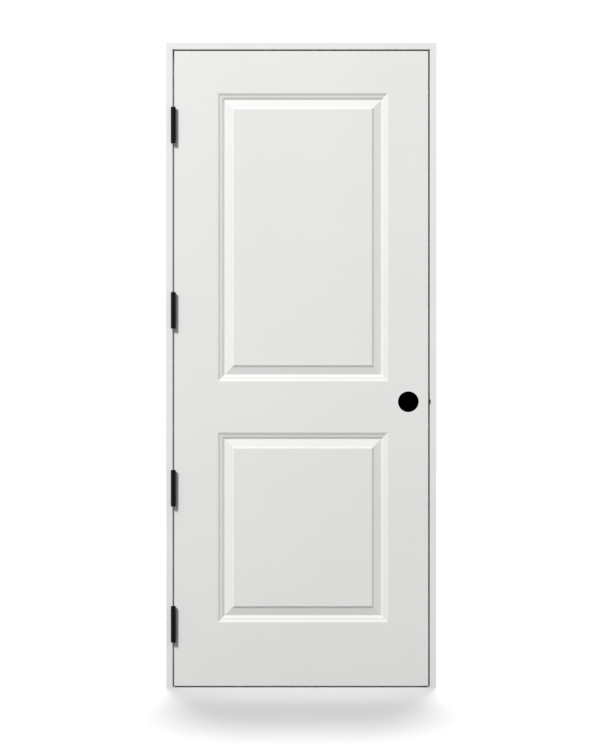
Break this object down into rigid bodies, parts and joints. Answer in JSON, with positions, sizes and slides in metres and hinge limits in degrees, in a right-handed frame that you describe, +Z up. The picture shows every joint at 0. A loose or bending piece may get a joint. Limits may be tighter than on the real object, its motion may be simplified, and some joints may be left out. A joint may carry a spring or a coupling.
{
  "type": "prehung interior door",
  "caption": "White primed moulded interior door with square panels, hung on black butt hinges in a plain jamb frame with stops, bored for a lock and latch.",
  "frame": {"origin": "on the wall face of the hinge jamb, at floor level, half way through the jamb's depth", "axes": "+X from the hinge jamb to the strike jamb, +Y from the opening side to the stop side, +Z up"},
  "size_m": [0.8644, 0.1366, 2.0628],
  "materials": {
    "primed_skin": "satin white primer on moulded fibreboard",
    "primed_edge": "satin white primer on solid wood",
    "primed_jamb": "satin white primer on finger-jointed wood",
    "core_board": "raw particle board",
    "black_hardware": "satin black powder coat on steel"
  },
  "bodies": {
    "frame": {"hinge_jamb": "primed_jamb", "strike_jamb": "primed_jamb", "head_jamb": "primed_jamb", "hinge_stop": "primed_jamb", "strike_stop": "primed_jamb", "head_stop": "primed_jamb", "strike_plate": "black_hardware", "jamb_leaf_1": "black_hardware", "jamb_leaf_2": "black_hardware", "jamb_leaf_3": "black_hardware", "jamb_leaf_4": "black_hardware", "hinge_pin_1": "black_hardware", "hinge_pin_2": "black_hardware", "hinge_pin_3": "black_hardware", "hinge_pin_4": "black_hardware"},
    "door": {"front_skin": "primed_skin", "back_skin": "primed_skin", "door_core": "core_board", "hinge_stile": "primed_edge", "lock_stile": "primed_edge", "top_rail": "primed_edge", "bottom_rail": "primed_edge", "door_leaf_1": "black_hardware", "door_leaf_2": "black_hardware", "door_leaf_3": "black_hardware", "door_leaf_4": "black_hardware"}
  },
  "joints": [
    {"name": "door_swing", "type": "hinge", "parent": "frame", "child": "door", "pos_m": [0.0232, -0.07065, 0], "axis": [0, 0, -1], "range_deg": [0, 180]}
  ]
}
